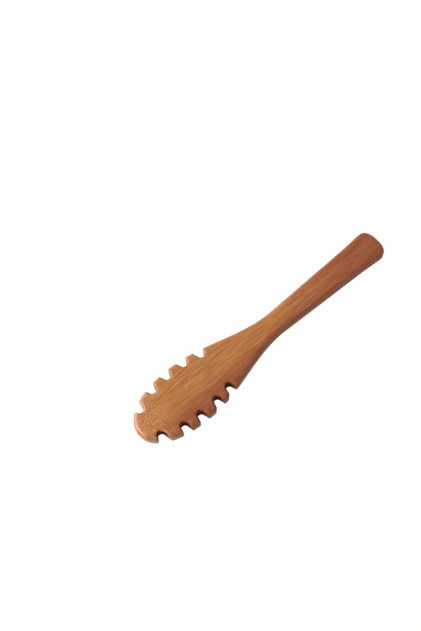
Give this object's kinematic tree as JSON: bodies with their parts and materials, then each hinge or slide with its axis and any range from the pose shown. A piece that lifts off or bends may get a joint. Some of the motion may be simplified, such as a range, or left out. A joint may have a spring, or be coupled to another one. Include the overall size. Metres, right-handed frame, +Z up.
{
  "type": "honey spoon",
  "caption": "Flat bamboo honey spoon: leaf-shaped blade with rounded notches along both edges that catch honey, rounded rim, narrow waist and plain rounded handle, glued up from upright lamellae.",
  "frame": {"origin": "middle of the spoon's footprint, on the flat underside", "axes": "+X from the blade's tip to the handle's end, +Y across to the left edge, +Z up through the flat top"},
  "size_m": [0.18, 0.0356, 0.007],
  "materials": {
    "bamboo_core": "sanded and oiled caramel bamboo, fine grain along the length",
    "bamboo_side": "sanded and oiled caramel bamboo, fine grain along the length",
    "bamboo_edge": "sanded and oiled caramel bamboo, fine grain along the length",
    "glue": "cured glue film, flush with the wood"
  },
  "bodies": {
    "root": {"core_lamella_left": "bamboo_core", "core_lamella_right": "bamboo_core", "side_lamella_left": "bamboo_side", "side_lamella_right": "bamboo_side", "edge_lamella_left_tooth_1": "bamboo_edge", "edge_lamella_left_tooth_2": "bamboo_edge", "edge_lamella_left_tooth_3": "bamboo_edge", "edge_lamella_left_tooth_4": "bamboo_edge", "edge_lamella_left_shoulder": "bamboo_edge", "edge_lamella_right_tooth_1": "bamboo_edge", "edge_lamella_right_tooth_2": "bamboo_edge", "edge_lamella_right_tooth_3": "bamboo_edge", "edge_lamella_right_tooth_4": "bamboo_edge", "edge_lamella_right_shoulder": "bamboo_edge", "core_glue": "glue", "side_glue_left": "glue", "side_glue_right": "glue", "edge_glue_left_tooth_1": "glue", "edge_glue_left_tooth_2": "glue", "edge_glue_left_tooth_3": "glue", "edge_glue_left_tooth_4": "glue", "edge_glue_left_shoulder": "glue", "edge_glue_right_tooth_1": "glue", "edge_glue_right_tooth_2": "glue", "edge_glue_right_tooth_3": "glue", "edge_glue_right_tooth_4": "glue", "edge_glue_right_shoulder": "glue"}
  },
  "joints": []
}
